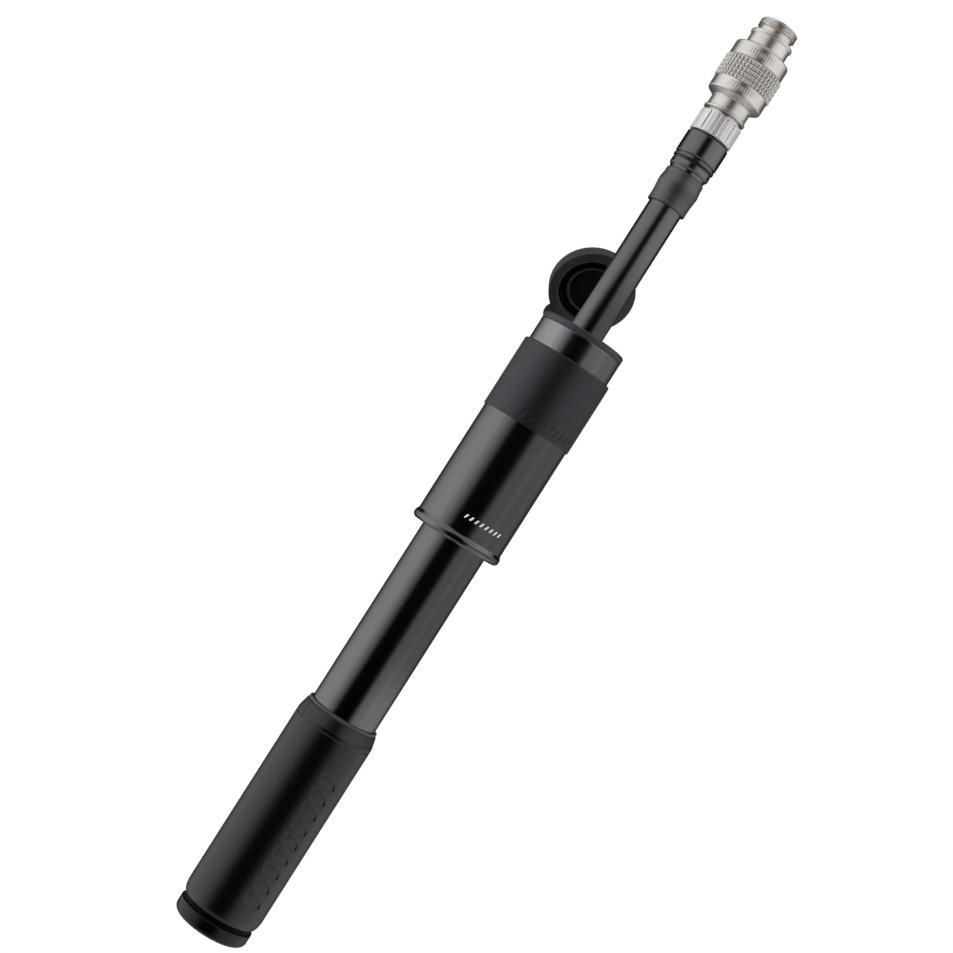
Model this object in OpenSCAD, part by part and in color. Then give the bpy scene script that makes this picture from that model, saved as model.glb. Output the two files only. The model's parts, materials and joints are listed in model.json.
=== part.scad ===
// Telescopic mini bicycle pump with a pull-out hose and a reversible
// two-ended chuck. Lengths in millimetres. Heights called "z" are measured
// up from the bottom of the barrel's rolled bead; the origin of the part is
// the middle of the smooth bracket seat, seat_z above that bead.

/* [Barrel] */
// Outer radius of the barrel shell, where the frame bracket clips on
barrel_r = 13.36; // [13.30:0.01:13.37]
// Outer radius of the rolled bead at the bottom of the barrel
bead_r = 13.9; // [13.5:0.1:15]
// Outer radius of the bare upper end of the cylinder liner
liner_r = 12.8; // [12.6:0.05:12.8]
// Bore radius of the cylinder liner
bore_r = 11.6; // [11.6:0.01:11.65]
// Height of the middle of the bracket seat above the bead's bottom
seat_z = 20; // [10:1:30]

/* [Grip band] */
// Outer radius of the rubber band around the barrel
band_r = 13.77; // [13.5:0.01:14.5]
// Height of the band's lower edge
band_z0 = 37.2; // [30:0.1:45]
// Height of the band's upper edge
band_z1 = 59.1; // [59.1:0.1:60]

/* [Hose store] */
// Inner radius of the thin tube that stores the hose
store_in_r = 9.2; // [9.18:0.01:9.22]
// Outer radius of that tube, which the piston slides on
store_out_r = 9.5; // [9.45:0.01:9.52]
// Height of the lower end of the tube
store_z0 = -60; // [-62:1:-50]

/* [Handle] */
// Outer radius of the hollow piston tube
tube_r = 10.1; // [10.05:0.01:10.1]
// Inner radius of the hollow piston tube
tube_in_r = 9.6; // [9.58:0.01:9.62]
// Outer radius of the rubber grip
grip_r = 12.0; // [11.5:0.1:13]
// Height of the grip's upper edge with the handle pulled out
grip_z1 = -57.4; // [-57.4:0.1:-57]
// Height of the grip's lower edge
grip_z0 = -121.8; // [-121.8:0.1:-121.7]

/* [Hose] */
// Outer radius of the hose
hose_r = 5.1; // [5.0:0.01:5.1]
// Bore radius of the hose
hose_in_r = 2.75; // [2.74:0.01:2.8]

/* [Chuck] */
// Radius of the chuck's knurled band
knurl_r = 8.8; // [8.5:0.05:8.85]
// Radius of the chuck's plain body
chuck_r = 8.35; // [8.0:0.05:8.4]
// Number of flutes on the ring nut
flutes = 16; // [12:1:20]
// Radius of the port that takes a Presta valve
presta_r = 2.65; // [2.6:0.01:2.7]

/* [Dust lid] */
// Outer radius of the lid
lid_r = 12.6; // [12.2:0.1:12.7]
// Height of the lid's side wall
lid_h = 5.2; // [5:0.1:6]
// How far the lid stands open, from closed
lid_open = 60; // [60:1:75]
// How far the hinge sits round from straight behind, towards the left
lid_turn = 17; // [12:1:25]

/* [Hidden] */
$fn = 96;

// height of the lid's rim centre and its distance from the pump's axis
lid_c_y = 15.7;
lid_c_z = 81.0;
// bead of the barrel as steps of radius and height
bead = [[13.15, 0], [0.75 * bead_r + 0.25 * 12.7, 0.22], [bead_r - 0.06, 0.8], [bead_r, 1.4],
    [bead_r - 0.06, 2.0], [bead_r - 0.3, 2.5], [barrel_r, 2.95]];

// points on an arc about c, from angle a0 to angle a1
function arc(c, r, a0, a1, n = 6) =
    [for (i = [0:n]) [c[0] + r * cos(a0 + (a1 - a0) * i / n), c[1] + r * sin(a0 + (a1 - a0) * i / n)]];

// a solid of revolution from [radius, z] points
module turned(pts) translate([0, 0, -seat_z]) rotate_extrude() polygon(pts);

// a plain tube
module tube(r1, r0, z0, z1) turned([[r0, z0], [r1, z0], [r1, z1], [r0, z1]]);

// an O-ring at height z
module oring(major, minor, z) translate([0, 0, z - seat_z])
    rotate_extrude() translate([major, 0]) circle(r = minor, $fn = 24);

// a drilling along X through the axis at height z
module cross_hole(r, z, len, a) translate([0, 0, z - seat_z]) rotate([0, 0, a]) rotate([0, 90, 0])
    cylinder(r = r, h = len, $fn = 24);

// ---- barrel ----

module outer_barrel() color("#0c0c0d")
    turned(concat([[10.6, 0]], bead, [[barrel_r, 58.5], [liner_r + 0.02, 58.5], [liner_r + 0.02, 0.8], [10.6, 0.8]]));

module cylinder_liner() color("#0c0c0d")
    turned([[bore_r, 0.85], [liner_r, 0.85], [liner_r, 66.0], [liner_r - 0.15, 66.15], [bore_r, 66.15]]);

module grip_band() color("#3a3a3e")
    turned(concat([[barrel_r + 0.02, 58.55], [barrel_r + 0.02, band_z0], [band_r - 0.12, band_z0], [band_r, band_z0 + 0.12]],
        arc([band_r - 0.45, band_z1 - 0.45], 0.45, 0, 90),
        [[liner_r + 0.04, band_z1], [liner_r + 0.04, 58.55]]));

module head_plug() color("#222222")
    turned([[10.3, 63.2], [bore_r - 0.02, 63.2], [bore_r - 0.02, 64.5], [10.98, 64.5], [10.98, 65.3],
        [bore_r - 0.02, 65.3], [bore_r - 0.02, 66.2], [12.0, 66.2], [12.0, 67.0],
        [store_out_r + 0.02, 67.0], [store_out_r + 0.02, 64.4], [10.3, 64.4]]);

module head_seal() color("#151515") oring(11.28, 0.29, 64.9);

module hose_stop_ring() color("#1a1a1c")
    turned([[8.92, 67.02], [11.9, 67.02], [11.9, 67.78], [9.1, 67.78], [8.92, 67.6]]);

module cap_ring() color("#47474b")
    turned(concat([[12.05, 66.22], [12.86, 66.22]], arc([12.35, 67.65], 0.55, 0, 90),
        [[9.7, 68.2], [9.7, 67.82], [12.05, 67.82]]));

module storage_tube() color("#9a9a9c") difference() {
    tube(store_out_r, store_in_r, store_z0, 67.0);
    for (a = [0:90:270]) cross_hole(0.45, 63.8, 12, a);
}

module gland_bush() color("#202022")
    turned([[tube_r + 0.05, 0.85], [bore_r - 0.02, 0.85], [bore_r - 0.02, 2.6], [tube_r + 0.05, 2.6],
        [tube_r + 0.05, 2.1], [10.85, 2.1], [10.85, 1.35], [tube_r + 0.05, 1.35]]);

module wiper_seal() color("#151515") tube(10.82, tube_r + 0.03, 1.4, 2.05);

// ---- dust lid: a rubber cup with an inner ring, hung on a strap ----

module lid_pose() rotate([0, 0, lid_turn]) translate([0, lid_c_y, lid_c_z - seat_z])
    rotate([-lid_open, 0, 0]) children();

module dust_lid() color("#47474b") lid_pose() union() {
    rotate_extrude() polygon(concat([[9.7, 0.25], [9.95, 0], [lid_r - 0.2, 0], [lid_r, 0.2]],
        arc([lid_r - 1.2, lid_h - 1.2], 1.2, 0, 90, 8),
        [[0, lid_h], [0, lid_h - 1.5], [9.7, lid_h - 1.5]]));
    // inner ring that closes round the chuck's nose
    rotate_extrude() polygon([[6.7, 1.4], [7.5, 1.4], [7.5, lid_h - 1.4], [6.7, lid_h - 1.4]]);
}

// turns a vector about X by a, and about Z by b
function rx(v, a) = [v[0], v[1] * cos(a) - v[2] * sin(a), v[1] * sin(a) + v[2] * cos(a)];
function rz(v, b) = [v[0] * cos(b) - v[1] * sin(b), v[0] * sin(b) + v[1] * cos(b), v[2]];
// a direction, then a point, of the lid in the part's frame
function lid_dir(v) = rz(rx(v, -lid_open), lid_turn);
function lid_pt(v) = rz(rx(v, -lid_open) + [0, lid_c_y, lid_c_z - seat_z], lid_turn);
function unit(v) = v / norm(v);

// where the strap leaves the cap ring, and where it meets the lid
strap_a = 45;
strap_b = 23;
strap_p0 = [-12.94 * sin(strap_a), 12.94 * cos(strap_a), 67.2 - seat_z];
strap_d0 = [-sin(strap_a), cos(strap_a), 0];
strap_w0 = [cos(strap_a), sin(strap_a), 0];
strap_d3 = lid_dir([-sin(strap_b), cos(strap_b), 0]);
strap_w3 = lid_dir([cos(strap_b), sin(strap_b), 0]);
strap_p3 = lid_pt([-(lid_r + 0.12) * sin(strap_b), (lid_r + 0.12) * cos(strap_b), 0.85]);
function bez(t) = pow(1 - t, 3) * strap_p0 + 3 * t * pow(1 - t, 2) * (strap_p0 + 3.6 * strap_d0)
    + 3 * t * t * (1 - t) * (strap_p3 + 3 * strap_d3) + pow(t, 3) * strap_p3;
function bez_w(t) = unit((1 - t) * strap_w0 + t * strap_w3);

// a thin plate across the strap at parameter t
module strap_plate(t) {
    p = bez(t);
    e = 0.01;
    d = unit(bez(min(1, t + e)) - bez(max(0, t - e)));
    w0 = bez_w(t);
    w = unit(w0 - (w0 * d) * d);
    n = cross(w, d);
    multmatrix([[w[0], d[0], n[0], p[0]], [w[1], d[1], n[1], p[1]], [w[2], d[2], n[2], p[2]], [0, 0, 0, 1]])
        translate([-2.6, -0.01, -0.5]) cube([5.2, 0.02, 1.0]);
}

module lid_strap() color("#47474b") {
    for (i = [0:4]) hull() {
        strap_plate(i / 5);
        strap_plate((i + 1) / 5);
    }
}

// ---- handle ----

module piston_tube() color("#0c0c0d") tube(tube_r, tube_in_r, grip_z0, 3.7);

module piston_head() color("#2a2a2c")
    turned([[tube_r + 0.02, 2.9], [bore_r - 0.1, 2.9], [bore_r - 0.1, 3.9], [10.7, 3.9], [10.7, 4.9],
        [bore_r - 0.1, 4.9], [bore_r - 0.1, 5.9], [store_out_r + 0.06, 5.9], [store_out_r + 0.06, 5.3],
        [10.25, 5.3], [10.25, 4.4], [store_out_r + 0.06, 4.4], [store_out_r + 0.06, 3.72], [tube_r + 0.02, 3.72]]);

module piston_seal() color("#151515") oring(11.15, 0.42, 4.4);

module inner_seal() color("#151515") oring(9.88, 0.34, 4.85);

module handle_sleeve() color("#8a8a8c") tube(10.68, tube_r + 0.02, grip_z0 + 0.05, grip_z1 - 0.2);

module handle_grip() color("#1d1d1f")
    turned([[10.7, grip_z0], [11.4, grip_z0], [11.75, grip_z0 + 0.9], [grip_r, grip_z0 + 2.2],
        [grip_r, -63.3], [grip_r - 0.12, -63.0], [grip_r, -62.7],
        [grip_r, -61.9], [grip_r - 0.15, -61.2], [10.95, grip_z1 - 0.2], [10.7, grip_z1]]);

module end_plug() color("#1a1a1a")
    turned([[0, -123.5], [11.0, -123.5], [11.0, -121.9], [9.55, -121.9], [9.55, -120.3], [8.7, -120.3],
        [8.7, -119.3], [9.55, -119.3], [9.55, -117.5], [8.0, -117.5], [8.0, -121.5], [0, -121.5]]);

module end_seal() color("#151515") oring(9.14, 0.43, -119.8);

module end_cap() color("#141416")
    turned(concat([[0, -123.55], [0, -127.9]], arc([7.95, -124.5], 3.4, -90, 0, 8), [[11.35, -123.7], [11.2, -123.55]]));

// ---- hose, which slides in its storage tube ----

module base_plug() color("#b39a5a") difference() {
    turned([[0, 59.7], [9.12, 59.7], [9.12, 60.7], [7.75, 60.7], [7.75, 62.2], [9.12, 62.2], [9.12, 63.0],
        [8.2, 63.0], [8.2, 64.6], [9.12, 64.6], [9.12, 65.0], [7.75, 65.0], [7.75, 66.5], [9.12, 66.5],
        [9.12, 66.95], [hose_r + 0.03, 66.95], [hose_r + 0.03, 64.7], [hose_in_r - 0.05, 64.7],
        [hose_in_r - 0.05, 72.6], [hose_in_r - 0.4, 73.0], [1.5, 73.0], [1.5, 68.2], [2.2, 68.2], [2.2, 62.6], [0, 62.6]]);
    for (a = [0:90:270]) cross_hole(0.5, 63.8, 12, a);
}

module base_seals() color("#151515") {
    oring(8.465, 0.7, 61.45);
    oring(8.465, 0.7, 65.75);
}

module check_valve() color("#7a2a22")
    turned([[0.35, 65.3], [2.15, 65.3], [2.15, 65.95], [1.25, 65.95], [1.25, 67.0], [0.45, 68.0], [0.35, 68.0]]);

module hose_tube() color("#101012") tube(hose_r, hose_in_r, 64.75, 117.5);

module hose_boot() color("#1c1c1e")
    turned([[hose_r + 0.02, 110.3], [5.8, 110.3], [5.92, 110.5], [5.92, 111.0], [5.86, 111.2], [5.9, 113.5],
        [6.05, 115.0], [6.2, 116.4], [6.22, 116.9], [6.15, 117.6], [5.92, 119.0], [5.85, 120.5], [5.7, 120.75],
        [hose_r + 0.02, 120.75]]);

module hose_ferrule() color("#0e0e0f")
    turned([[1.5, 108.0], [hose_in_r - 0.4, 108.0], [hose_in_r - 0.05, 108.4], [hose_in_r - 0.05, 117.55],
        [hose_r, 117.55], [hose_r, 120.8], [5.5, 120.8], [5.5, 121.8], [5.75, 121.8], [6.1, 122.3], [6.1, 123.9],
        [6.0, 124.0], [3.6, 124.0], [3.6, 126.1], [2.98, 126.1], [2.98, 126.9], [3.6, 126.9], [3.6, 130.1], [1.5, 130.1]]);

module swivel_seal() color("#151515") oring(3.3, 0.32, 126.5);

module swivel_clip() color("#8c8c8e") tube(4.6, 3.62, 128.8, 129.6);

// ---- swivelling coupling ----

module swivel_collar() color("#0d0d0e")
    turned([[3.65, 124.1], [5.7, 124.1], [5.8, 124.4], [6.4, 124.6], [6.4, 125.2], [5.8, 125.35], [5.8, 125.7],
        [6.15, 125.7], [6.44, 126.0], [6.44, 132.5], [6.1, 132.9], [5.0, 132.9], [5.0, 128.6], [3.65, 128.6]]);

module swivel_nipple() color("#b8b8ba") difference() {
    turned([[1.5, 130.4], [4.97, 130.4], [4.97, 133.0], [4.9, 133.0], [4.9, 136.4], [3.7, 136.4], [3.7, 140.2],
        [3.1, 140.2], [3.1, 141.2], [3.7, 141.2], [3.7, 142.8], [3.5, 143.0], [1.5, 143.0]]);
}

module nipple_seal() color("#151515") oring(3.52, 0.4, 140.7);

module ring_nut() color("#e8e8ea") difference() {
    turned([[4.92, 133.1], [6.2, 133.1], [6.5, 133.5], [6.5, 139.1], [6.25, 139.5], [5.95, 139.5], [5.95, 136.7], [4.92, 136.7]]);
    for (i = [0:flutes - 1]) rotate([0, 0, (i + 0.5) * 360 / flutes]) translate([6.72, 0, 134.0 - seat_z])
        cylinder(r = 0.5, h = 4.6, $fn = 20);
}

// ---- reversible chuck ----

module schrader_gasket() color("#2a2a2a") tube(4.95, 3.1, 145.65, 147.95);

// a male thread's crests, from z upward
function crests(z, n, p, root, crest) = [for (i = [0:n - 1]) each
    [[root, z + i * p], [crest, z + i * p + 0.28 * p], [crest, z + i * p + 0.5 * p], [root, z + i * p + 0.78 * p]]];

module chuck_body() color("#b4b0aa") difference() {
    turned(concat([[3.95, 137.0], [5.2, 137.0]], crests(137.1, 3, 0.8, 5.3, 5.75),
        [[5.1, 139.6], [5.1, 140.4], [6.3, 140.45], [6.47, 140.65], [6.47, 141.2], [6.3, 141.4], [6.05, 141.45],
         [6.05, 144.5], [chuck_r - 0.1, 145.75], [chuck_r, 145.95],
         [chuck_r, 149.4], [knurl_r, 149.6], [knurl_r, 156.4], [chuck_r, 156.6],
         [chuck_r, 160.55], [chuck_r - 0.1, 160.7], [6.1, 161.7],
         [6.1, 164.85], [6.3, 164.95], [6.47, 165.15], [6.47, 165.8], [6.3, 166.0], [5.1, 166.05], [5.1, 167.55]],
        crests(167.6, 3, 0.8, 5.3, 5.75),
        [[5.2, 170.1], [5.1, 170.2], [presta_r, 170.2], [presta_r, 161.0], [4.0, 161.0], [4.0, 158.0], [2.3, 158.0],
         [2.3, 151.0], [0, 151.0], [0, 148.0], [5.0, 148.0], [5.0, 145.6], [3.95, 145.6]]));
    translate([0, 0, 147 - seat_z]) cylinder(r = 0.95, h = 5, $fn = 24);
    for (a = [0:120:240]) rotate([0, 0, a]) translate([1.62, 0, 147 - seat_z]) cylinder(r = 0.5, h = 5, $fn = 24);
}

module presta_gasket() color("#2a2a2a") tube(3.97, 2.35, 158.05, 160.95);

module depressor_pin() color("#c8b070") translate([0, 0, 144.4 - seat_z]) cylinder(r = 0.93, h = 6.4, $fn = 32);

outer_barrel();
cylinder_liner();
grip_band();
head_plug();
head_seal();
hose_stop_ring();
cap_ring();
storage_tube();
gland_bush();
wiper_seal();
dust_lid();
lid_strap();
piston_tube();
piston_head();
piston_seal();
inner_seal();
handle_sleeve();
handle_grip();
end_plug();
end_seal();
end_cap();
base_plug();
base_seals();
check_valve();
hose_tube();
hose_boot();
hose_ferrule();
swivel_seal();
swivel_clip();
swivel_collar();
swivel_nipple();
nipple_seal();
ring_nut();
schrader_gasket();
chuck_body();
presta_gasket();
depressor_pin();
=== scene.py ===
import json
import math

import bpy
from mathutils import Matrix, Vector


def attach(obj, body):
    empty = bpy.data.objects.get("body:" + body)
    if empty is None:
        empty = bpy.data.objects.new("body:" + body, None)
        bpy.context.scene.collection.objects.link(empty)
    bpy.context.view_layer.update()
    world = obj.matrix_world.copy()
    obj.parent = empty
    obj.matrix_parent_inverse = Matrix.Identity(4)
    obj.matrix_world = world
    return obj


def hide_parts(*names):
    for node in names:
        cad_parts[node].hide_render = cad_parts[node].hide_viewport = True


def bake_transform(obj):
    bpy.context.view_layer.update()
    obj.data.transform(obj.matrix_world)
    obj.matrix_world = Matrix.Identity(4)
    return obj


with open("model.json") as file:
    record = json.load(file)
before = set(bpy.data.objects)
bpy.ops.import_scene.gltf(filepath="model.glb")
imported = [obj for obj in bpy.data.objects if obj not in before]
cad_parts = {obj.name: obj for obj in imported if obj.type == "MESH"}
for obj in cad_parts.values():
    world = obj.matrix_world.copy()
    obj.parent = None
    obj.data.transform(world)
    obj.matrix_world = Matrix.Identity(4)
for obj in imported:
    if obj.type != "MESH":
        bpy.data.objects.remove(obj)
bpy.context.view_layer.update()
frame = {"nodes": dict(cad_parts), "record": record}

MM = 0.001
SEAT = 20.0            # height of the frame's origin above the barrel's bead, mm
scene = bpy.context.scene
scene.view_settings.view_transform = "Standard"
scene.view_settings.look = "None"

# ------------------------------------------------------------------ camera
TILT = math.radians(32.45)
CAM_X, CAM_Y, CAM_Z = -0.00434, -0.490, -0.0015
cam_data = bpy.data.cameras.new("camera")
cam_data.sensor_width = 36.0
cam_data.lens = 36.0 * 0.490 / (953 * 0.00028)
cam_data.clip_start, cam_data.clip_end = 0.01, 20.0
cam = bpy.data.objects.new("camera", cam_data)
scene.collection.objects.link(cam)
ct, st = math.cos(TILT), math.sin(TILT)
cam.matrix_world = Matrix(((ct, -st, 0, CAM_X), (0, 0, -1, CAM_Y), (st, ct, 0, CAM_Z), (0, 0, 0, 1)))
scene.camera = cam


# ------------------------------------------------------------------ studio
def node_math(nt, op, a, b=None, c=None, clamp=False):
    n = nt.nodes.new("ShaderNodeMath")
    n.operation = op
    n.use_clamp = clamp
    for k, v in enumerate((a, b, c)):
        if v is None:
            continue
        if isinstance(v, (int, float)):
            n.inputs[k].default_value = v
        else:
            nt.links.new(v, n.inputs[k])
    return n.outputs[0]


def ramp_of(nt, fac, stops, top):
    """A grey ramp over azimuth in degrees; values are radiance, divided by top."""
    r = nt.nodes.new("ShaderNodeValToRGB")
    r.color_ramp.interpolation = "EASE"
    el = r.color_ramp.elements
    while len(el) > 1:
        el.remove(el[-1])
    for k, (az, v) in enumerate(stops):
        p = (az + 180.0) / 360.0
        e = el[0] if k == 0 else el.new(p)
        e.position = p
        g = v / top
        e.color = (g, g, g, 1)
    nt.links.new(fac, r.inputs[0])
    return r.outputs[0]


def studio_world():
    """Two large soft boxes left and right of a dark gap in front, on a white sweep."""
    w = bpy.data.worlds.new("studio")
    scene.world = w
    w.use_nodes = True
    nt = w.node_tree
    nt.nodes.clear()
    tc = nt.nodes.new("ShaderNodeTexCoord")
    sep = nt.nodes.new("ShaderNodeSeparateXYZ")
    nt.links.new(tc.outputs["Generated"], sep.inputs[0])
    x, y, z = sep.outputs
    ny = node_math(nt, "MULTIPLY", y, -1.0)
    az = node_math(nt, "ARCTAN2", x, ny)
    fac = node_math(nt, "MULTIPLY_ADD", az, 1 / (2 * math.pi), 0.5)
    top = 2.0
    low = ramp_of(nt, fac, [(-180, .01), (-152, .06), (-137, .35), (-121, .72), (-104, .95), (-86, 1.08), (-66, 1.06),
        (-51, .74), (-36, .36), (-28, .10), (-21, .012), (0, .006), (15, .01), (23, .05), (30, .22), (38, .36),
        (56, .37), (70, .44), (89, .36), (112, .36), (128, .28), (146, .08), (180, .01)], top)
    high = ramp_of(nt, fac, [(-180, .01), (-130, .03), (-118, .5), (-100, .9), (-70, .95), (-40, .85), (-26, .62),
        (-16, .24), (-10, .05), (0, .03), (10, .05), (16, .24), (26, .68), (40, .9), (70, .98),
        (100, .9), (118, .5), (130, .03), (180, .01)], top)
    k = nt.nodes.new("ShaderNodeMapRange")
    k.interpolation_type = "SMOOTHSTEP"
    k.inputs["From Min"].default_value = math.sin(math.radians(6.9))
    k.inputs["From Max"].default_value = math.sin(math.radians(8.9))
    nt.links.new(z, k.inputs["Value"])
    mix = nt.nodes.new("ShaderNodeMix")
    mix.data_type = "RGBA"
    nt.links.new(k.outputs[0], mix.inputs[0])
    nt.links.new(low, mix.inputs[6])
    nt.links.new(high, mix.inputs[7])
    below = ramp_of(nt, fac, [(-180, .01), (-152, .06), (-137, .45), (-121, .85), (-104, 1.0), (-86, 1.1), (-66, 1.05),
        (-51, .7), (-36, .3), (-30, .08), (-24, .008), (0, .002), (17, .006), (24, .07), (30, .34), (38, .6),
        (56, .72), (70, .85), (89, .8), (112, .75), (128, .55), (146, .15), (180, .01)], top)
    kb = nt.nodes.new("ShaderNodeMapRange")
    kb.interpolation_type = "SMOOTHSTEP"
    kb.inputs["From Min"].default_value = math.sin(math.radians(-6.2))
    kb.inputs["From Max"].default_value = math.sin(math.radians(-8.2))
    nt.links.new(z, kb.inputs["Value"])
    mixb = nt.nodes.new("ShaderNodeMix")
    mixb.data_type = "RGBA"
    nt.links.new(kb.outputs[0], mixb.inputs[0])
    nt.links.new(mix.outputs[2], mixb.inputs[6])
    nt.links.new(below, mixb.inputs[7])
    # overhead and underneath fill, so end faces are lit in every view
    up = nt.nodes.new("ShaderNodeMapRange")
    up.interpolation_type = "SMOOTHSTEP"
    up.inputs["From Min"].default_value = 0.62
    up.inputs["From Max"].default_value = 0.85
    az_abs = node_math(nt, "ABSOLUTE", z)
    nt.links.new(az_abs, up.inputs["Value"])
    mix2 = nt.nodes.new("ShaderNodeMix")
    mix2.data_type = "RGBA"
    nt.links.new(up.outputs[0], mix2.inputs[0])
    nt.links.new(mixb.outputs[2], mix2.inputs[6])
    mix2.inputs[7].default_value = (0.5 / top, 0.5 / top, 0.5 / top, 1)
    bg = nt.nodes.new("ShaderNodeBackground")
    bg.inputs["Strength"].default_value = top
    nt.links.new(mix2.outputs[2], bg.inputs["Color"])
    white = nt.nodes.new("ShaderNodeBackground")
    white.inputs["Color"].default_value = (1, 1, 1, 1)
    white.inputs["Strength"].default_value = 1.0
    lp = nt.nodes.new("ShaderNodeLightPath")
    sh = nt.nodes.new("ShaderNodeMixShader")
    nt.links.new(lp.outputs["Is Camera Ray"], sh.inputs[0])
    nt.links.new(bg.outputs[0], sh.inputs[1])
    nt.links.new(white.outputs[0], sh.inputs[2])
    out = nt.nodes.new("ShaderNodeOutputWorld")
    nt.links.new(sh.outputs[0], out.inputs["Surface"])


studio_world()


# ------------------------------------------------------------------ materials
class Mat:
    """A Principled material with helpers for procedural detail in object space."""

    def __init__(self, name, base, rough=0.5, metal=0.0, ior=1.5, spec=0.5, coat=0.0, coat_rough=0.1,
                 sheen=0.0, sheen_rough=0.5, sheen_tint=(1, 1, 1)):
        m = bpy.data.materials.new(name)
        m.use_nodes = True
        self.m, self.nt = m, m.node_tree
        self.bsdf = next(n for n in self.nt.nodes if n.type == "BSDF_PRINCIPLED")
        b = self.bsdf.inputs
        self.base, self.rough = base, rough
        b["Base Color"].default_value = (*base, 1)
        b["Roughness"].default_value = rough
        b["Metallic"].default_value = metal
        b["IOR"].default_value = ior
        b["Specular IOR Level"].default_value = spec
        b["Coat Weight"].default_value = coat
        b["Coat Roughness"].default_value = coat_rough
        b["Sheen Weight"].default_value = sheen
        b["Sheen Roughness"].default_value = sheen_rough
        b["Sheen Tint"].default_value = (*sheen_tint, 1)
        self.tc = self.nt.nodes.new("ShaderNodeTexCoord")
        self.normal = None

    def noise(self, scale, detail=3.0, rough=0.5, dist=0.0):
        mp = self.nt.nodes.new("ShaderNodeMapping")
        mp.inputs["Scale"].default_value = scale if isinstance(scale, tuple) else (scale,) * 3
        self.nt.links.new(self.tc.outputs["Object"], mp.inputs["Vector"])
        n = self.nt.nodes.new("ShaderNodeTexNoise")
        n.inputs["Scale"].default_value = 1.0
        n.inputs["Detail"].default_value = detail
        n.inputs["Roughness"].default_value = rough
        n.inputs["Distortion"].default_value = dist
        self.nt.links.new(mp.outputs[0], n.inputs["Vector"])
        return n.outputs["Fac"]

    def remap(self, v, lo, hi, fmin=0.3, fmax=0.7):
        r = self.nt.nodes.new("ShaderNodeMapRange")
        r.inputs["From Min"].default_value = fmin
        r.inputs["From Max"].default_value = fmax
        r.inputs["To Min"].default_value = lo
        r.inputs["To Max"].default_value = hi
        self.nt.links.new(v, r.inputs["Value"])
        return r.outputs[0]

    def colour(self, v, a, b, fmin=0.3, fmax=0.7):
        r = self.nt.nodes.new("ShaderNodeValToRGB")
        r.color_ramp.elements[0].position = fmin
        r.color_ramp.elements[0].color = (*a, 1)
        r.color_ramp.elements[1].position = fmax
        r.color_ramp.elements[1].color = (*b, 1)
        self.nt.links.new(v, r.inputs[0])
        return r.outputs[0]

    def set_colour(self, c):
        self.nt.links.new(c, self.bsdf.inputs["Base Color"])

    def set_rough(self, r):
        self.nt.links.new(r, self.bsdf.inputs["Roughness"])

    def bump(self, v, dist, strength=1.0):
        b = self.nt.nodes.new("ShaderNodeBump")
        b.inputs["Distance"].default_value = dist
        b.inputs["Strength"].default_value = strength
        self.nt.links.new(v, b.inputs["Height"])
        if self.normal is not None:
            self.nt.links.new(self.normal, b.inputs["Normal"])
        self.normal = b.outputs[0]
        self.nt.links.new(self.normal, self.bsdf.inputs["Normal"])


def anodised(name, base=(0.0013, 0.0013, 0.0015), rough=0.075, ior=2.35):
    m = Mat(name, base, rough, ior=ior, spec=0.5)
    fine = m.noise((900, 900, 12), 4, 0.6)          # draw lines along the tube
    cloud = m.noise(60, 3, 0.5)
    m.set_colour(m.colour(cloud, tuple(c * 0.85 for c in base), tuple(c * 1.25 for c in base)))
    m.set_rough(m.remap(fine, rough * 0.8, rough * 1.3))
    m.bump(fine, 0.0000010, 0.4)
    speck = m.noise(9000, 2, 0.5)
    m.bump(speck, 0.000001, 0.3)
    return m.m


def rubber(name, base, rough=0.55, sheen=0.25, spec=0.5, grain=0.00002, tint=(0.9, 0.91, 1.0), ior=1.5):
    m = Mat(name, base, rough, ior=ior, spec=spec, sheen=sheen, sheen_rough=0.35, sheen_tint=tint)
    m.bsdf.inputs["Specular Tint"].default_value = (*tint, 1)
    cloud = m.noise(90, 4, 0.55)
    fine = m.noise(4200, 3, 0.6)
    mid = m.noise(1500, 3, 0.55)
    m.set_colour(m.colour(cloud, tuple(c * 0.88 for c in base), tuple(c * 1.15 for c in base)))
    m.set_rough(m.remap(mid, rough * 0.92, rough * 1.08))
    m.bump(fine, grain, 0.45)
    m.bump(mid, grain * 1.6, 0.45)
    return m.m


def turned_metal(name, base, rough=0.3, metal=1.0, lines=26000, bump=0.000004, aniso=0.0, dust=None):
    m = Mat(name, base, rough, metal)
    ring = m.noise((40, 40, lines), 3, 0.6)         # fine lathe lines round the axis
    cloud = m.noise(180, 3, 0.5)
    m.set_colour(m.colour(cloud, tuple(c * 0.93 for c in base), tuple(min(1, c * 1.05) for c in base)))
    m.set_rough(m.remap(ring, rough * 0.85, rough * 1.2))
    m.bump(ring, bump, 0.5)
    return m.m


def moulded(name, base, rough=0.4):
    m = Mat(name, base, rough)
    fine = m.noise(5000, 3, 0.6)
    cloud = m.noise(120, 3, 0.5)
    m.set_colour(m.colour(cloud, tuple(c * 0.9 for c in base), tuple(min(1, c * 1.12) for c in base)))
    m.set_rough(m.remap(fine, rough * 0.9, rough * 1.1))
    m.bump(fine, 0.00001, 0.4)
    return m.m


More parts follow.
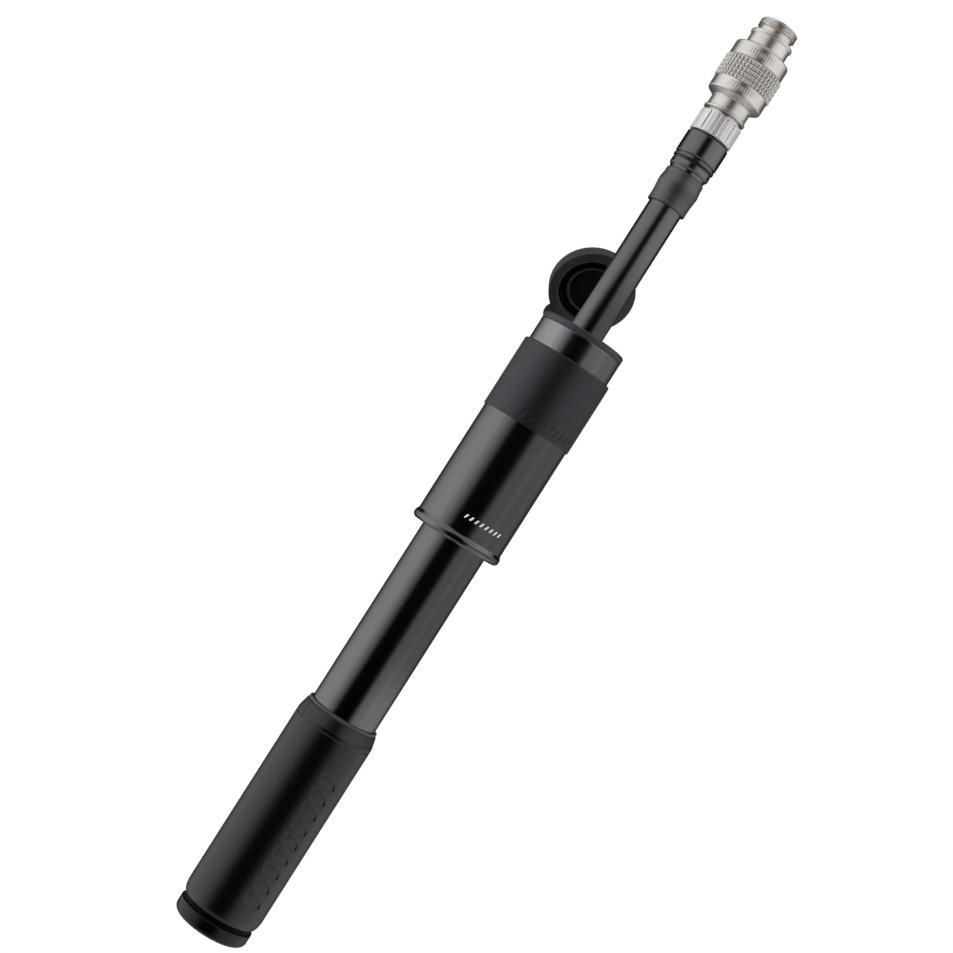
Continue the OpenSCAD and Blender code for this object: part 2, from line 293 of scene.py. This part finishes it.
M = {}
M["tube"] = anodised("black_anodised_tube")
M["liner"] = anodised("bare_liner_anodise", (0.0013, 0.0013, 0.0015), 0.085, 3.1)
M["hose"] = anodised("smooth_hose_rubber", (0.003, 0.003, 0.0033), 0.095, 2.2)
M["blackmetal"] = anodised("black_turned_metal", (0.002, 0.002, 0.0022), 0.065, 2.25)
M["band"] = rubber("band_rubber", (0.0070, 0.0070, 0.0098), 0.38, 0.22, 0.80)
M["lid"] = rubber("lid_rubber", (0.040, 0.040, 0.050), 0.5, 0.12, 0.7)
# Painted shade: the lid's inside and its inner lip get darker rubber colours than the outside, standing in for the
# shade inside the cup.
M["lidin"] = rubber("lid_rubber_inside_painted_shade", (0.0010, 0.0010, 0.0016), 0.36, 0.0, 0.18)
M["lidlip"] = rubber("lid_rubber_lip_painted_shade", (0.012, 0.012, 0.015), 0.33, 0.0, 0.9)
M["ring"] = rubber("cap_ring_rubber", (0.045, 0.045, 0.056), 0.42, 0.10, 0.7)
M["grip"] = rubber("grip_rubber", (0.0003, 0.0003, 0.0008), 0.29, 0.14, 0.72)
M["cap"] = rubber("end_cap_rubber", (0.0004, 0.0004, 0.0006), 0.28, 0.04, 0.42)
M["boot"] = rubber("boot_rubber", (0.034, 0.034, 0.0345), 0.40, 0.0, 1.0, tint=(1, 1, 1), ior=1.66)
M["gap"] = rubber("dark_plug_plastic", (0.0003, 0.0003, 0.0004), 0.5, 0.0, 0.08)
M["seal"] = rubber("seal_rubber", (0.004, 0.004, 0.004), 0.3, 0.0)
M["plastic"] = moulded("black_acetal", (0.008, 0.008, 0.009))
M["sleeve"] = moulded("grey_sleeve_plastic", (0.10, 0.10, 0.10), 0.5)
M["steel"] = turned_metal("drawn_steel", (0.55, 0.55, 0.56), 0.28)
M["brass"] = turned_metal("turned_brass", (0.62, 0.45, 0.2), 0.3)
M["chuck"] = turned_metal("satin_chuck_metal", (0.80, 0.765, 0.725), 0.27, 0.90)
M["nut"] = turned_metal("bright_nut_metal", (0.98, 0.985, 0.99), 0.34, 0.62, lines=2500, bump=0.000001)
M["print"] = moulded("white_print_painted_glow", (0.85, 0.85, 0.84), 0.5)
# Painted light: an emission of 0.4 makes the white print glow beyond what the studio light gives it.
for n in M["print"].node_tree.nodes:
    if n.type == "BSDF_PRINCIPLED":
        n.inputs["Emission Color"].default_value = (1, 1, 1, 1)
        n.inputs["Emission Strength"].default_value = 0.4

SLOT_MAT = {"black_anodised": "tube", "band_rubber": "band", "lid_rubber": "lid", "grip_rubber": "grip",
    "boot_rubber": "boot", "hose_rubber": "hose", "seal_rubber": "seal", "black_plastic": "plastic",
    "grey_plastic": "sleeve", "black_metal": "blackmetal", "steel": "steel", "brass": "brass",
    "bright_alloy": "nut", "satin_chuck": "chuck"}
NODE_SLOT = {s["node"]: s["material_slot"] for s in frame["record"]["subparts"]}
NODE_BODY = {n: b for b, ns in frame["record"]["behaviour"]["bodies"].items() for n in ns}
for name, obj in frame["nodes"].items():
    mat = M[SLOT_MAT[NODE_SLOT[name]]]
    obj.data.materials.clear()
    obj.data.materials.append(mat)
    for p in obj.data.polygons:
        p.material_index = 0


# ------------------------------------------------------------------ mesh tools
def rounded(pts, closed=True, n=5):
    """Corner points (r, z) or (r, z, radius) to a polyline with true fillets."""
    P = [(p[0], p[1], p[2] if len(p) > 2 else 0.0) for p in pts]
    out = []
    N = len(P)
    for i in range(N):
        r0, z0, rad = P[i]
        if rad <= 0 or (not closed and i in (0, N - 1)):
            out.append((r0, z0))
            continue
        a = Vector(P[(i - 1) % N][:2]) - Vector((r0, z0))
        b = Vector(P[(i + 1) % N][:2]) - Vector((r0, z0))
        la, lb = a.length, b.length
        a.normalize()
        b.normalize()
        ang = math.acos(max(-1, min(1, a.dot(b))))
        if ang > math.pi - 0.03 or ang < 0.03:
            out.append((r0, z0))
            continue
        cut = min(rad / math.tan(ang / 2), la * 0.49, lb * 0.49)
        rr = cut * math.tan(ang / 2)
        c = Vector((r0, z0)) + (a + b).normalized() * (rr / math.sin(ang / 2))
        p0 = Vector((r0, z0)) + a * cut - c
        p1 = Vector((r0, z0)) + b * cut - c
        t0, t1 = math.atan2(p0.y, p0.x), math.atan2(p1.y, p1.x)
        d = (t1 - t0 + math.pi) % (2 * math.pi) - math.pi
        for k in range(n + 1):
            t = t0 + d * k / n
            out.append((c.x + rr * math.cos(t), c.y + rr * math.sin(t)))
    return out


def split_rows(poly, z0, z1, step, closed=True):
    """Adds rows on the straight stretches between heights z0 and z1, no longer than step."""
    out = []
    N = len(poly)
    for i in range(N if closed else N - 1):
        a, b = poly[i], poly[(i + 1) % N]
        out.append(a)
        L = math.hypot(b[0] - a[0], b[1] - a[1])
        lo, hi = min(a[1], b[1]), max(a[1], b[1])
        if hi < z0 or lo > z1 or L < step:
            continue
        cuts = set()
        if abs(b[1] - a[1]) > 1e-6:
            for zz in (z0, z1):
                f = (zz - a[1]) / (b[1] - a[1])
                if 0 < f < 1:
                    cuts.add(round(f, 6))
        f0, f1 = 0.0, 1.0
        if abs(b[1] - a[1]) > 1e-6:
            fa, fb = (z0 - a[1]) / (b[1] - a[1]), (z1 - a[1]) / (b[1] - a[1])
            f0, f1 = max(0.0, min(fa, fb)), min(1.0, max(fa, fb))
        n = max(1, int(math.ceil((f1 - f0) * L / step)))
        for k in range(n + 1):
            f = f0 + (f1 - f0) * k / n
            if 1e-5 < f < 1 - 1e-5:
                cuts.add(round(f, 6))
        for f in sorted(cuts):
            out.append((a[0] + (b[0] - a[0]) * f, a[1] + (b[1] - a[1]) * f))
    if not closed:
        out.append(poly[-1])
    return out


def held(poly, closed=True, gap=0.07):
    """Adds a row just inside each end of a long straight stretch, so its shading stays flat."""
    out = []
    N = len(poly)
    for i in range(N if closed else N - 1):
        a, b = poly[i], poly[(i + 1) % N]
        out.append(a)
        L = math.hypot(b[0] - a[0], b[1] - a[1])
        if L > 0.45:
            for f in (gap / L, 1 - gap / L):
                out.append((a[0] + (b[0] - a[0]) * f, a[1] + (b[1] - a[1]) * f))
    if not closed:
        out.append(poly[-1])
    return out


def azimuths(seg, windows=()):
    """Angles in degrees from facing the viewer, finer inside windows (lo, hi, step)."""
    base = [-180 + 360 * k / seg for k in range(seg)]
    keep = [a for a in base if not any(lo <= a <= hi for lo, hi, _ in windows)]
    for lo, hi, step in windows:
        n = max(1, int(round((hi - lo) / step)))
        keep += [lo + (hi - lo) * k / n for k in range(n + 1)]
    return sorted(set(round(a, 5) for a in keep))


def spun(name, poly, az=None, seg=144, disp=None, closed=True, mat=None, sharp=32.0, seat=SEAT, xform=None):
    """A solid of revolution. az: angles from -Y, towards +X. disp(r, z, a) gives a new (r, z)."""
    az = az or azimuths(seg)
    poly = held(poly, closed)
    A = len(az)
    verts, rows = [], []
    for r, z in poly:
        if r < 1e-6:
            rows.append([len(verts)] * A)
            verts.append((0.0, 0.0, (z - seat) * MM))
            continue
        row = []
        for a in az:
            rr, zz = disp(r, z, a) if disp else (r, z)
            t = math.radians(a)
            row.append(len(verts))
            verts.append((rr * math.sin(t) * MM, -rr * math.cos(t) * MM, (zz - seat) * MM))
        rows.append(row)
    faces = []
    R = len(rows)
    for i in range(R if closed else R - 1):
        a, b = rows[i], rows[(i + 1) % R]
        for k in range(A):
            q = [a[k], a[(k + 1) % A], b[(k + 1) % A], b[k]]
            f = []
            for v in q:
                if v not in f:
                    f.append(v)
            if len(f) > 2:
                faces.append(f)
    me = bpy.data.meshes.new(name)
    me.from_pydata(verts, [], faces)
    me.validate()
    me.update()
    if xform is not None:
        me.transform(xform)
    fix_normals(me)
    me.shade_smooth()
    me.set_sharp_from_angle(angle=math.radians(sharp))
    ob = bpy.data.objects.new(name, me)
    scene.collection.objects.link(ob)
    if mat:
        me.materials.append(mat)
    return ob


def fix_normals(me):
    import bmesh
    bm = bmesh.new()
    bm.from_mesh(me)
    bmesh.ops.recalc_face_normals(bm, faces=bm.faces)
    if bm.calc_volume(signed=True) < 0:
        bmesh.ops.reverse_faces(bm, faces=bm.faces)
    bm.to_mesh(me)
    bm.free()


def stands_for(ob, node):
    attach(ob, NODE_BODY[node])
    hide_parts(node)
    return ob


def smooth(e0, e1, x):
    t = max(0.0, min(1.0, (x - e0) / (e1 - e0)))
    return t * t * (3 - 2 * t)


def bars_mask(u, v, n, pitch, half_w, half_h, slant, edge):
    """Depth 0 to 1 of a row of n slanted round-ended bars; u runs along the row from 0."""
    if abs(v) > half_h + edge or u < -pitch or u > n * pitch + pitch:
        return 0.0
    uu = u - slant * v
    k = math.floor(uu / pitch)
    if k < 0 or k >= n:
        return 0.0
    d = abs(uu - (k + 0.5) * pitch)
    vv = max(0.0, abs(v) - (half_h - half_w))
    dist = math.hypot(d, vv) - half_w
    return 1.0 - smooth(-edge, edge, dist)


# ------------------------------------------------------------------ barrel
barrel = spun("barrel_shell", rounded([(10.6, 0.0, 0.12), (13.15, 0.0, 0.6), (13.9, 0.75, 0.7), (13.9, 1.95, 0.8),
    (13.36, 2.95, 0.5), (13.36, 58.45, 0.08), (12.82, 58.45), (12.82, 0.8), (10.6, 0.8, 0.1)]),
    seg=192, mat=M["tube"])
stands_for(barrel, "outer_barrel")

liner = spun("barrel_head", rounded([(11.6, 0.85), (12.8, 0.85), (12.8, 66.15, 0.12), (11.6, 66.15, 0.1)]),
    seg=192, mat=M["liner"])
stands_for(liner, "cylinder_liner")


def band_disp(r, z, a):
    if r > 13.5:
        # row of slanted bars pressed into the lower edge
        u = math.radians(a + 17.7) * 13.77
        m = bars_mask(u, z - 39.7, 9, 2.2, 0.62, 1.2, 0.4, 0.09)
        r -= 0.26 * m
        # mould parting ridge near each side
        for c in (-68.0, 112.0):
            d = abs(a - c) * math.pi / 180 * 13.77
            r += 0.0 if d > 0.3 else -0.12 * (1 - smooth(0.05, 0.28, d))
    return r, z


band_poly = rounded([(13.38, 37.2), (13.77, 37.2, 0.14), (13.77, 59.1, 0.42), (12.84, 59.1, 0.05), (12.84, 58.55), (13.38, 58.55)])
band_poly = split_rows(band_poly, 38.4, 41.6, 0.1)
band = spun("rubber_band", band_poly, az=azimuths(144, [(-20, 68, 0.4), (-70, -66, 0.25), (110, 114, 0.25)]),
    disp=band_disp, mat=M["band"])
stands_for(band, "grip_band")


def ring_disp(r, z, a):
    if r > 12.5 and z < 66.8:
        for c, w in ((-15.0, 0.55), (46.0, 1.6), (-128.0, 1.0), (150.0, 0.9)):
            r -= 0.3 * (1 - smooth(w * 0.6, w, abs(a - c))) * (1 - smooth(66.5, 66.75, z))
    return r, z


ring_poly = split_rows(rounded([(12.05, 66.22), (12.86, 66.22, 0.1), (12.86, 68.2, 0.6), (9.7, 68.2, 0.2), (9.7, 67.82), (12.05, 67.82)]),
    66.2, 67.0, 0.12)
cap_ring = spun("mouth_ring", ring_poly, az=azimuths(144, [(-16.5, -13.5, 0.15), (43, 49, 0.25), (-130, -126, 0.25), (148, 152, 0.25)]),
    disp=ring_disp, mat=M["ring"])
stands_for(cap_ring, "cap_ring")

# generic printed dashes on the barrel
def dashes():
    verts, faces = [], []
    r = 13.372
    for k in range(8):
        u0 = -1.1 + k * 1.66
        for j in range(7):
            for i in range(2):
                v = -0.62 + 1.24 * j / 6
                u = u0 + (0.5 if i else 0.0) + 0.45 * v
                t = u / r
                z = 8.0 + v
                verts.append((r * math.sin(t) * MM, -r * math.cos(t) * MM, (z - SEAT) * MM))
        b = len(verts) - 14
        for j in range(6):
            faces.append((b + 2 * j, b + 2 * j + 1, b + 2 * j + 3, b + 2 * j + 2))
    me = bpy.data.meshes.new("printed_dashes")
    me.from_pydata(verts, [], faces)
    me.shade_smooth()
    me.materials.append(M["print"])
    ob = bpy.data.objects.new("printed_dashes", me)
    scene.collection.objects.link(ob)
    sol = ob.modifiers.new("thick", "SOLIDIFY")
    sol.thickness = 0.00001
    sol.offset = -1
    return ob


marks = dashes()
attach(marks, "barrel")

# ------------------------------------------------------------------ dust lid and its strap
LID_OPEN, LID_TURN, LID_Y, LID_Z, LID_R, LID_H = 60.0, 17.0, 15.7, 81.0, 12.6, 5.2
LID_X = (Matrix.Rotation(math.radians(LID_TURN), 4, "Z") @ Matrix.Translation(Vector((0, LID_Y, LID_Z - SEAT)) * MM)
         @ Matrix.Rotation(math.radians(-LID_OPEN), 4, "X"))
lid_poly = rounded([(0, LID_H), (LID_R, LID_H, 1.2), (LID_R, 0.0, 0.22), (9.75, 0.0, 0.45), (9.7, LID_H - 1.5, 0.6), (7.5, LID_H - 1.5, 0.3),
    (7.5, 1.4, 0.3), (6.7, 1.4, 0.25), (6.65, LID_H - 1.5, 0.4), (0, LID_H - 1.5)], closed=False)
lid_poly = split_rows(lid_poly, 0.6, 3.9, 0.5, closed=False)


def lid_disp(r, z, a):
    # a fine gate mark pressed down the wall at one side
    if r > 12.4 and 0.3 < z < 4.2:
        d = abs(a + 62.0) * math.pi / 180 * LID_R
        r -= 0.08 * (1 - smooth(0.1, 0.35, d))
    return r, z


lid = spun("dust_lid_cup", lid_poly, az=azimuths(144, [(-65, -59, 0.5)]), disp=lid_disp, closed=False, mat=M["lid"], seat=0.0, xform=LID_X)
lid.data.materials.append(M["lidin"])
lid.data.materials.append(M["lidlip"])
LID_BACK = LID_X.inverted()
# Faces inside the cup take the painted-shade colours: the inner lip gets index 2, the rest of the inside index 1.
for p in lid.data.polygons:
    c = LID_BACK @ p.center / MM
    if math.hypot(c.x, c.y) < 9.72 and c.z < LID_H - 1.2:
        p.material_index = 2 if 6.6 < math.hypot(c.x, c.y) < 7.6 and c.z < 2.0 else 1
stands_for(lid, "dust_lid")


def strap():
    def lid_dir(v):
        return (LID_X.to_3x3() @ Vector(v)).normalized()

    def lid_pt(v):
        return LID_X @ (Vector(v) * MM) / MM

    sa, sb = math.radians(45), math.radians(23)
    p0 = Vector((-12.7 * math.sin(sa), 12.7 * math.cos(sa), 67.2 - SEAT))
    d0 = Vector((-math.sin(sa), math.cos(sa), 0))
    w0 = Vector((math.cos(sa), math.sin(sa), 0))
    d3 = lid_dir((-math.sin(sb), math.cos(sb), 0))
    w3 = lid_dir((math.cos(sb), math.sin(sb), 0))
    p3 = lid_pt((-(LID_R - 0.15) * math.sin(sb), (LID_R - 0.15) * math.cos(sb), 0.95))
    c1, c2 = p0 + 3.8 * d0, p3 + 3.2 * d3
    N = 28
    verts, faces, ring = [], [], []
    prof = []
    for k in range(24):
        t = 2 * math.pi * k / 24
        e = 0.45
        prof.append((math.copysign(abs(math.cos(t)) ** e, math.cos(t)), math.copysign(abs(math.sin(t)) ** e, math.sin(t))))
    centre = []
    for i in range(N + 1):
        t = i / N
        p = (1 - t) ** 3 * p0 + 3 * t * (1 - t) ** 2 * c1 + 3 * t * t * (1 - t) * c2 + t ** 3 * p3
        d = (3 * (1 - t) ** 2 * (c1 - p0) + 6 * t * (1 - t) * (c2 - c1) + 3 * t * t * (p3 - c2)).normalized()
        w = ((1 - t) * w0 + t * w3).normalized()
        w = (w - w.dot(d) * d).normalized()
        n = w.cross(d)
        neck = 1 - 0.22 * math.sin(math.pi * t) ** 2
        thick = 0.5 * (1 - 0.25 * math.sin(math.pi * t) ** 2)
        row = []
        for u, v in prof:
            row.append(len(verts))
            verts.append(tuple((p + w * (u * 2.6 * neck) + n * (v * thick)) * MM))
        ring.append(row)
        centre.append(p * MM)
    K = len(prof)
    for i in range(N):
        for k in range(K):
            faces.append((ring[i][k], ring[i][(k + 1) % K], ring[i + 1][(k + 1) % K], ring[i + 1][k]))
    faces.append(tuple(ring[0]))
    faces.append(tuple(reversed(ring[-1])))
    me = bpy.data.meshes.new("lid_strap_tongue")
    me.from_pydata(verts, [], faces)
    fix_normals(me)
    me.shade_smooth()
    me.materials.append(M["lid"])
    ob = bpy.data.objects.new("lid_strap_tongue", me)
    scene.collection.objects.link(ob)
    return ob, centre


tongue, strap_line = strap()
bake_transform(tongue)
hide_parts("lid_strap")

# ------------------------------------------------------------------ handle
stands_for(spun("sliding_tube", rounded([(9.6, -121.8), (10.1, -121.8), (10.1, 3.7, 0.1), (9.6, 3.7)]), seg=160, mat=M["tube"]), "piston_tube")
stands_for(spun("grip_sleeve", rounded([(10.12, -121.75), (10.68, -121.75), (10.68, -58.36), (10.92, -58.36, 0.05), (10.90, -57.45, 0.12), (10.4, -57.42, 0.1), (10.3, -57.6), (10.12, -57.6)]), seg=160, mat=M["sleeve"]), "handle_sleeve")


def grip_disp(r, z, a):
    if r > 11.9:
        u = -(z + 72.2)
        v = math.radians(a - 33.0) * 12.0
        m = bars_mask(u, v, 9, 4.8, 1.3, 3.1, 0.35, 0.14)
        r -= 0.34 * m
    if r > 11.0 and z < -57.5:
        for c in (-58.0, 122.0):
            d = abs(a - c + 2.2 * (z + 60.0)) * math.pi / 180 * 12.0
            if d < 0.35 and z > -62.7:
                r -= 0.2 * (1 - smooth(0.08, 0.26, d))
        for c in (-76.0, 104.0):
            d = abs(a - c) * math.pi / 180 * 12.0
            if d < 0.35 and z < -118.5:
                r -= 0.10 * (1 - smooth(0.08, 0.3, d))
    return r, z


grip_poly = rounded([(10.7, -121.8), (11.4, -121.8, 0.15), (11.8, -120.7, 0.8), (12.0, -119.3, 1.5), (12.0, -63.25, 0.08), (11.86, -63.02, 0.08),
    (12.0, -62.8, 0.08), (12.0, -61.9, 0.5), (11.8, -61.0, 0.8), (11.2, -58.55, 0.25), (11.0, -58.4, 0.1), (10.7, -58.4, 0.1)])
grip_poly = split_rows(grip_poly, -62.7, -58.5, 0.3)
grip_poly = split_rows(grip_poly, -117.0, -72.0, 0.3)
grip = spun("rubber_grip", grip_poly, az=azimuths(144, [(15, 51, 0.65), (-78, -74, 0.4), (102, 106, 0.4), (-65, -51, 0.4), (115, 129, 0.4)]), disp=grip_disp, mat=M["grip"])
stands_for(grip, "handle_grip")
stands_for(spun("end_plug_rim", rounded([(0, -123.5), (10.9, -123.5, 0.1), (10.9, -121.9, 0.1), (9.55, -121.9), (9.55, -120.3), (8.7, -120.3),
    (8.7, -119.3), (9.55, -119.3), (9.55, -117.5), (8.0, -117.5), (8.0, -121.5), (0, -121.5)], closed=False), seg=144, closed=False, mat=M["gap"]), "end_plug")
stands_for(spun("end_cap_shell", rounded([(0, -123.55), (11.2, -123.55, 0.1), (11.35, -123.75, 0.15), (11.35, -127.9, 3.4), (8.0, -127.9, 0.5), (7.0, -127.75, 0.4), (0, -127.7)], closed=False, n=8),
    seg=144, closed=False, mat=M["cap"]), "end_cap")

# ------------------------------------------------------------------ hose and its fittings
stands_for(spun("hose_tube_skin", rounded([(2.75, 64.75), (5.1, 64.75), (5.1, 117.5), (2.75, 117.5)]), seg=112, mat=M["hose"]), "hose_tube")
stands_for(spun("hose_boot_skin", rounded([(5.12, 110.3), (5.9, 110.3, 0.22), (5.92, 111.0, 0.2), (5.84, 111.25, 0.2), (5.9, 113.5, 2.0), (6.05, 115.0, 2.0),
    (6.2, 116.5, 1.2), (6.18, 117.3, 0.8), (5.92, 119.0, 2.0), (5.86, 120.4, 0.3), (5.6, 120.75, 0.15), (5.12, 120.75)]), seg=112, mat=M["boot"]), "hose_boot")
stands_for(spun("ferrule_body", rounded([(1.5, 108.0), (2.35, 108.0), (2.7, 108.4), (2.7, 117.55), (5.1, 117.55), (5.1, 120.8), (5.5, 120.8), (5.5, 121.75, 0.1), (5.75, 121.8, 0.1),
    (6.1, 122.25, 0.15), (6.1, 123.75, 0.15), (5.85, 124.0, 0.05), (3.6, 124.0), (3.6, 126.1), (2.98, 126.1), (2.98, 126.9), (3.6, 126.9), (3.6, 130.1), (1.5, 130.1)]),
    seg=112, mat=M["blackmetal"]), "hose_ferrule")
stands_for(spun("coupling_collar", rounded([(3.65, 124.1), (5.6, 124.1, 0.05), (5.75, 124.35, 0.05), (6.38, 124.6, 0.15), (6.38, 125.15, 0.15), (5.85, 125.35, 0.08), (5.85, 125.65, 0.08),
    (6.2, 125.75, 0.1), (6.44, 126.05, 0.12), (6.44, 132.2, 0.25), (5.85, 132.85, 0.15), (5.0, 132.9), (5.0, 128.6), (3.65, 128.6)]), seg=128, mat=M["blackmetal"]), "swivel_collar")

NF = 16


def nut_disp(r, z, a):
    if r > 6.1 and 133.2 < z < 139.45:
        ph = ((a + 10.0) / 360 * NF) % 1.0
        d = min(ph, 1 - ph) * 2 * math.pi * 6.5 / NF     # mm from the flute's middle
        end = smooth(133.2, 133.9, z) * (1 - smooth(138.9, 139.45, z))
        r -= (0.30 * (1 - smooth(0.34, 0.60, d)) + 0.10 * (d / 1.28) ** 4) * end
    return r, z


nut_poly = split_rows(rounded([(4.92, 133.1), (6.15, 133.1, 0.1), (6.5, 133.45, 0.2), (6.5, 139.15, 0.2), (6.25, 139.5, 0.1), (5.95, 139.5), (5.95, 136.7), (4.92, 136.7)]),
    133.2, 139.4, 0.35)
stands_for(spun("fluted_nut", nut_poly, seg=NF * 20, disp=nut_disp, mat=M["nut"], sharp=50), "ring_nut")

# ------------------------------------------------------------------ chuck
NK = 40
KZ0, KZ1 = 149.5, 156.5


def chuck_disp(r, z, a):
    if r > 8.3 and KZ0 <= z <= KZ1:
        row = (z - KZ0) / 1.4
        fz = row - math.floor(row)
        fa = (a / 360 * NK) % 1.0
        hz = max(0.0, math.sin(math.pi * fz)) ** 0.5
        ha = max(0.0, math.sin(math.pi * fa)) ** 0.5
        r = 8.12 + 0.67 * hz * (0.2 + 0.8 * ha)
    if r > 8.3:
        # two rows of plain engraved ticks
        for zc, a0, n in ((158.5, -26.0, 9), (147.8, -30.0, 11)):
            u = math.radians(a - a0) * 8.35
            r -= 0.055 * bars_mask(u, z - zc, n, 0.86, 0.17, 0.75, 0.0, 0.07)
    for z0, z1, hand in ((137.0, 139.55, 1), (167.55, 170.12, 1)):
        if r > 5.0 and z0 <= z <= z1 and r < 5.6:
            ph = ((z - z0) / 0.8 - a / 360.0) % 1.0
            tri = 1 - abs(2 * ph - 1)
            fade = smooth(z0, z0 + 0.25, z) * (1 - smooth(z1 - 0.2, z1, z))
            r = 5.25 + 0.5 * smooth(0.15, 0.85, tri) * fade
    return r, z


chuck_poly = rounded([(3.95, 137.0), (5.25, 137.0), (5.25, 139.6), (5.1, 139.62), (5.1, 140.4, 0.1), (6.1, 140.42, 0.2), (6.47, 140.65, 0.25), (6.47, 141.2, 0.25),
    (6.1, 141.42, 0.15), (6.05, 141.6, 0.1), (6.05, 144.55, 0.25), (8.2, 145.8, 0.35), (8.35, 146.1, 0.3), (8.35, 149.45, 0.05), (8.32, 149.5), (8.32, 156.5), (8.35, 156.55, 0.05), (8.35, 160.45, 0.3),
    (8.2, 160.75, 0.3), (6.1, 161.75, 0.2), (6.1, 164.85, 0.12), (6.2, 164.93, 0.1), (6.47, 165.2, 0.25), (6.47, 165.8, 0.25), (6.15, 166.02, 0.15), (5.1, 166.05, 0.1), (5.1, 167.5, 0.05),
    (5.25, 167.55), (5.25, 170.1, 0.1), (5.15, 170.2, 0.05), (2.9, 170.2, 0.05), (2.65, 169.95, 0.05), (2.65, 161.0), (4.0, 161.0), (4.0, 158.0), (2.3, 158.0), (2.3, 151.0), (0, 151.0),
    (0, 148.0), (5.0, 148.0), (5.0, 145.6), (3.95, 145.6)], closed=True)
chuck_poly = split_rows(chuck_poly, KZ0, KZ1, 0.117)


chuck_poly = split_rows(chuck_poly, 157.6, 159.4, 0.12)
chuck_poly = split_rows(chuck_poly, 146.9, 148.7, 0.12)
chuck_poly = split_rows(chuck_poly, 167.5, 170.15, 0.08)
chuck_poly = [p for i, p in enumerate(chuck_poly)
              if not (p[0] < 2.66 and 151.05 < p[1] < 169.9 and not any(abs(p[1] - q) < 1e-3 for q in (158.0, 161.0)))]
stands_for(spun("chuck_metal", chuck_poly, az=azimuths(NK * 8, [(-34, 32, 0.6)]), disp=chuck_disp, mat=M["chuck"], sharp=38), "chuck_body")

# ------------------------------------------------------------------ floor
def floor():
    me = bpy.data.meshes.new("floor")
    n = 64
    R, z = 0.5, -0.40
    me.from_pydata([(R * math.cos(2 * math.pi * k / n), R * math.sin(2 * math.pi * k / n), z) for k in range(n)], [], [tuple(range(n))])
    ob = bpy.data.objects.new("floor", me)
    scene.collection.objects.link(ob)
    m = Mat("pale_floor", (0.9, 0.9, 0.9), 0.9)
    m.set_colour(m.colour(m.noise(30, 3), (0.88, 0.88, 0.88), (0.92, 0.92, 0.92)))
    m.bsdf.inputs["Emission Color"].default_value = (1, 1, 1, 1)
    m.bsdf.inputs["Emission Strength"].default_value = 0.35
    me.materials.append(m.m)
    ob.visible_glossy = False
    ob.visible_diffuse = False
    return ob


floor()
